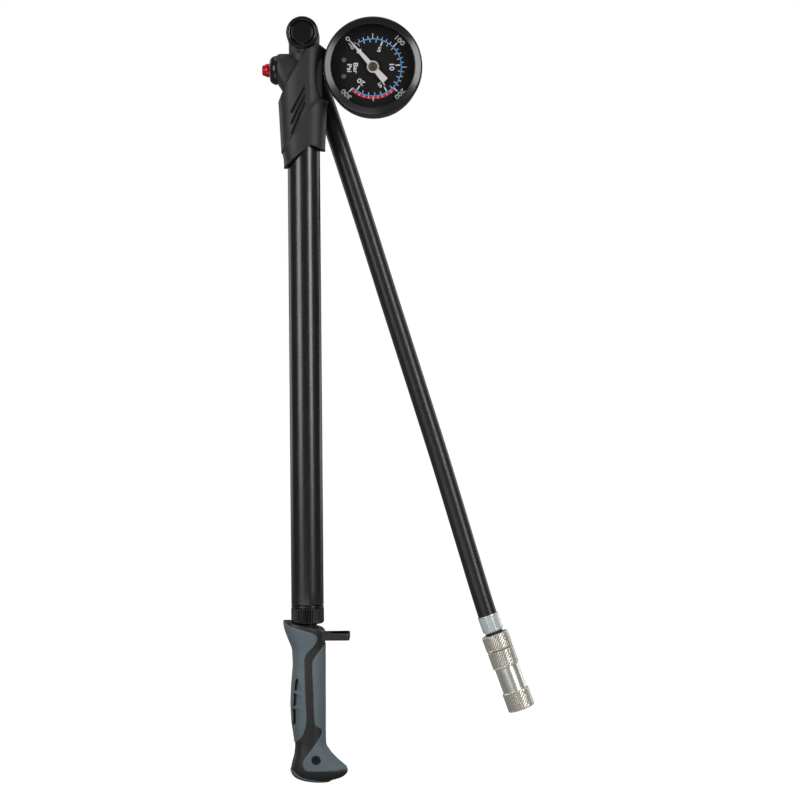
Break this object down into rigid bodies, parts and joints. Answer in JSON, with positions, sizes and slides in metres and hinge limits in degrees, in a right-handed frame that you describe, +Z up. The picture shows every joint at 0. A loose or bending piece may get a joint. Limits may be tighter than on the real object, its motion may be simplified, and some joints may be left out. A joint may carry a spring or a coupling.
{
  "type": "shock suspension pump",
  "caption": "Slim high-pressure hand pump with a sliding barrel, side bleed button, round dial gauge and swivelling hose with a screw-on valve chuck.",
  "frame": {"origin": "on the barrel's axis at the middle of the hand grip, 36 mm above the bottom of the handle", "axes": "+Z up along the barrel towards the head; the dial faces -Y; the bleed button is at -X and the gauge and hose at +X"},
  "size_m": [0.116, 0.0357, 0.3301],
  "materials": {
    "handle_plastic": "fine moulded black nylon",
    "grip_rubber": "blue-grey soft overmould",
    "black_steel": "satin black steel",
    "white_plastic": "natural acetal",
    "seal_rubber": "black seal rubber",
    "steel": "plain steel",
    "black_anodised": "satin black anodised",
    "head_plastic": "fine grained black plastic",
    "brass": "machined",
    "red_anodised": "bright red anodised",
    "zinc_plate": "bright zinc plate",
    "hose_rubber": "smooth satin black hose cover",
    "nickel_plate": "satin nickel plate",
    "gauge_black": "satin black with turned rings",
    "clear_lens": "clear polished",
    "dial_face": "matt black with printed scales",
    "pointer_white": "matt white"
  },
  "bodies": {
    "handle": {"handle_core": "handle_plastic", "grip_pad_left": "grip_rubber", "grip_pad_right": "grip_rubber", "grip_base_pad": "grip_rubber", "handle_screw": "black_steel", "piston_rod": "black_steel", "piston": "white_plastic", "piston_oring": "seal_rubber", "piston_nut": "steel", "top_out_bumper": "seal_rubber"},
    "guide": {"rod_bush": "white_plastic", "rod_wiper": "seal_rubber"},
    "barrel": {"barrel_tube": "black_anodised", "gland_collar": "black_anodised", "barrel_seal": "seal_rubber", "head_body": "head_plastic", "head_cover_front": "head_plastic", "head_cover_rear": "head_plastic", "cover_screw_1": "steel", "cover_screw_2": "steel", "check_seat": "brass", "check_spring": "steel", "bleed_cap": "black_anodised", "bleed_spring": "steel", "swivel_bolt": "black_anodised", "swivel_oring_front": "seal_rubber", "swivel_oring_rear": "seal_rubber", "swivel_nut": "black_anodised", "gauge_case": "gauge_black", "gauge_bezel": "gauge_black", "gauge_lens": "clear_lens", "lens_gasket": "seal_rubber", "dial_plate": "dial_face", "dial_screw_1": "steel", "dial_screw_2": "steel", "gauge_stem": "brass", "movement_plate": "brass", "bourdon_tube": "brass"},
    "poppet": {"check_poppet": "white_plastic"},
    "button": {"bleed_button": "red_anodised", "bleed_seal": "seal_rubber"},
    "needle": {"pointer": "pointer_white", "pinion_shaft": "brass"},
    "sector": {"sector_gear": "brass"},
    "hose_arm": {"swivel_eye": "black_anodised", "hose_ferrule_upper": "zinc_plate", "hose": "hose_rubber", "hose_ferrule_lower": "zinc_plate", "chuck_stem": "brass", "chuck_washer": "seal_rubber"},
    "knob": {"valve_knob": "nickel_plate"},
    "pin": {"depressor_pin": "brass"},
    "sleeve": {"valve_sleeve": "nickel_plate", "valve_gasket": "seal_rubber"}
  },
  "joints": [
    {"name": "pump_stroke", "type": "slide", "parent": "handle", "child": "guide", "axis": [0, 0, 1], "range_m": [0, 0.184]},
    {"name": "barrel_turn", "type": "hinge", "parent": "guide", "child": "barrel", "pos_m": [0, 0, 0.05], "axis": [0, 0, 1], "continuous": true},
    {"name": "check_lift", "type": "slide", "parent": "barrel", "child": "poppet", "axis": [0, 0, 1], "range_m": [0, 0.001], "stiffness_N_per_m": 150, "springref_m": -0.002, "deforming": ["check_spring"]},
    {"name": "bleed_press", "type": "slide", "parent": "barrel", "child": "button", "axis": [1, 0, 0], "range_m": [0, 0.002], "stiffness_N_per_m": 800, "springref_m": -0.001},
    {"name": "sector_swing", "type": "hinge", "parent": "barrel", "child": "sector", "pos_m": [0.03789, 0, 0.26246], "axis": [0, -1, 0], "range_deg": [0, 30], "stiffness_Nm_per_rad": 0.01, "springref_deg": -2.86},
    {"name": "needle_turn", "type": "hinge", "parent": "barrel", "child": "needle", "pos_m": [0.0303, 0, 0.2715], "axis": [0, 1, 0], "range_deg": [0, 265]},
    {"name": "hose_swing", "type": "hinge", "parent": "barrel", "child": "hose_arm", "pos_m": [0, 0.0148, 0.28695], "axis": [0, -1, 0], "range_deg": [-17.2, 162.8]},
    {"name": "knob_turn", "type": "hinge", "parent": "hose_arm", "child": "knob", "pos_m": [0.0785, 0.0148, 0.0337], "axis": [0.3355, 0, -0.9421], "range_deg": [0, 540]},
    {"name": "pin_press", "type": "slide", "parent": "hose_arm", "child": "pin", "axis": [0.3355, 0, -0.9421], "range_m": [0, 0.0015]},
    {"name": "sleeve_spin", "type": "hinge", "parent": "hose_arm", "child": "sleeve", "pos_m": [0.0785, 0.0148, 0.0337], "axis": [0.3355, 0, -0.9421], "continuous": true}
  ],
  "couplings": [
    {"joint": "needle_turn", "follows": "sector_swing", "ratio": 8.8333},
    {"joint": "pin_press", "follows": "knob_turn", "m_per_rad": 0.000159}
  ]
}
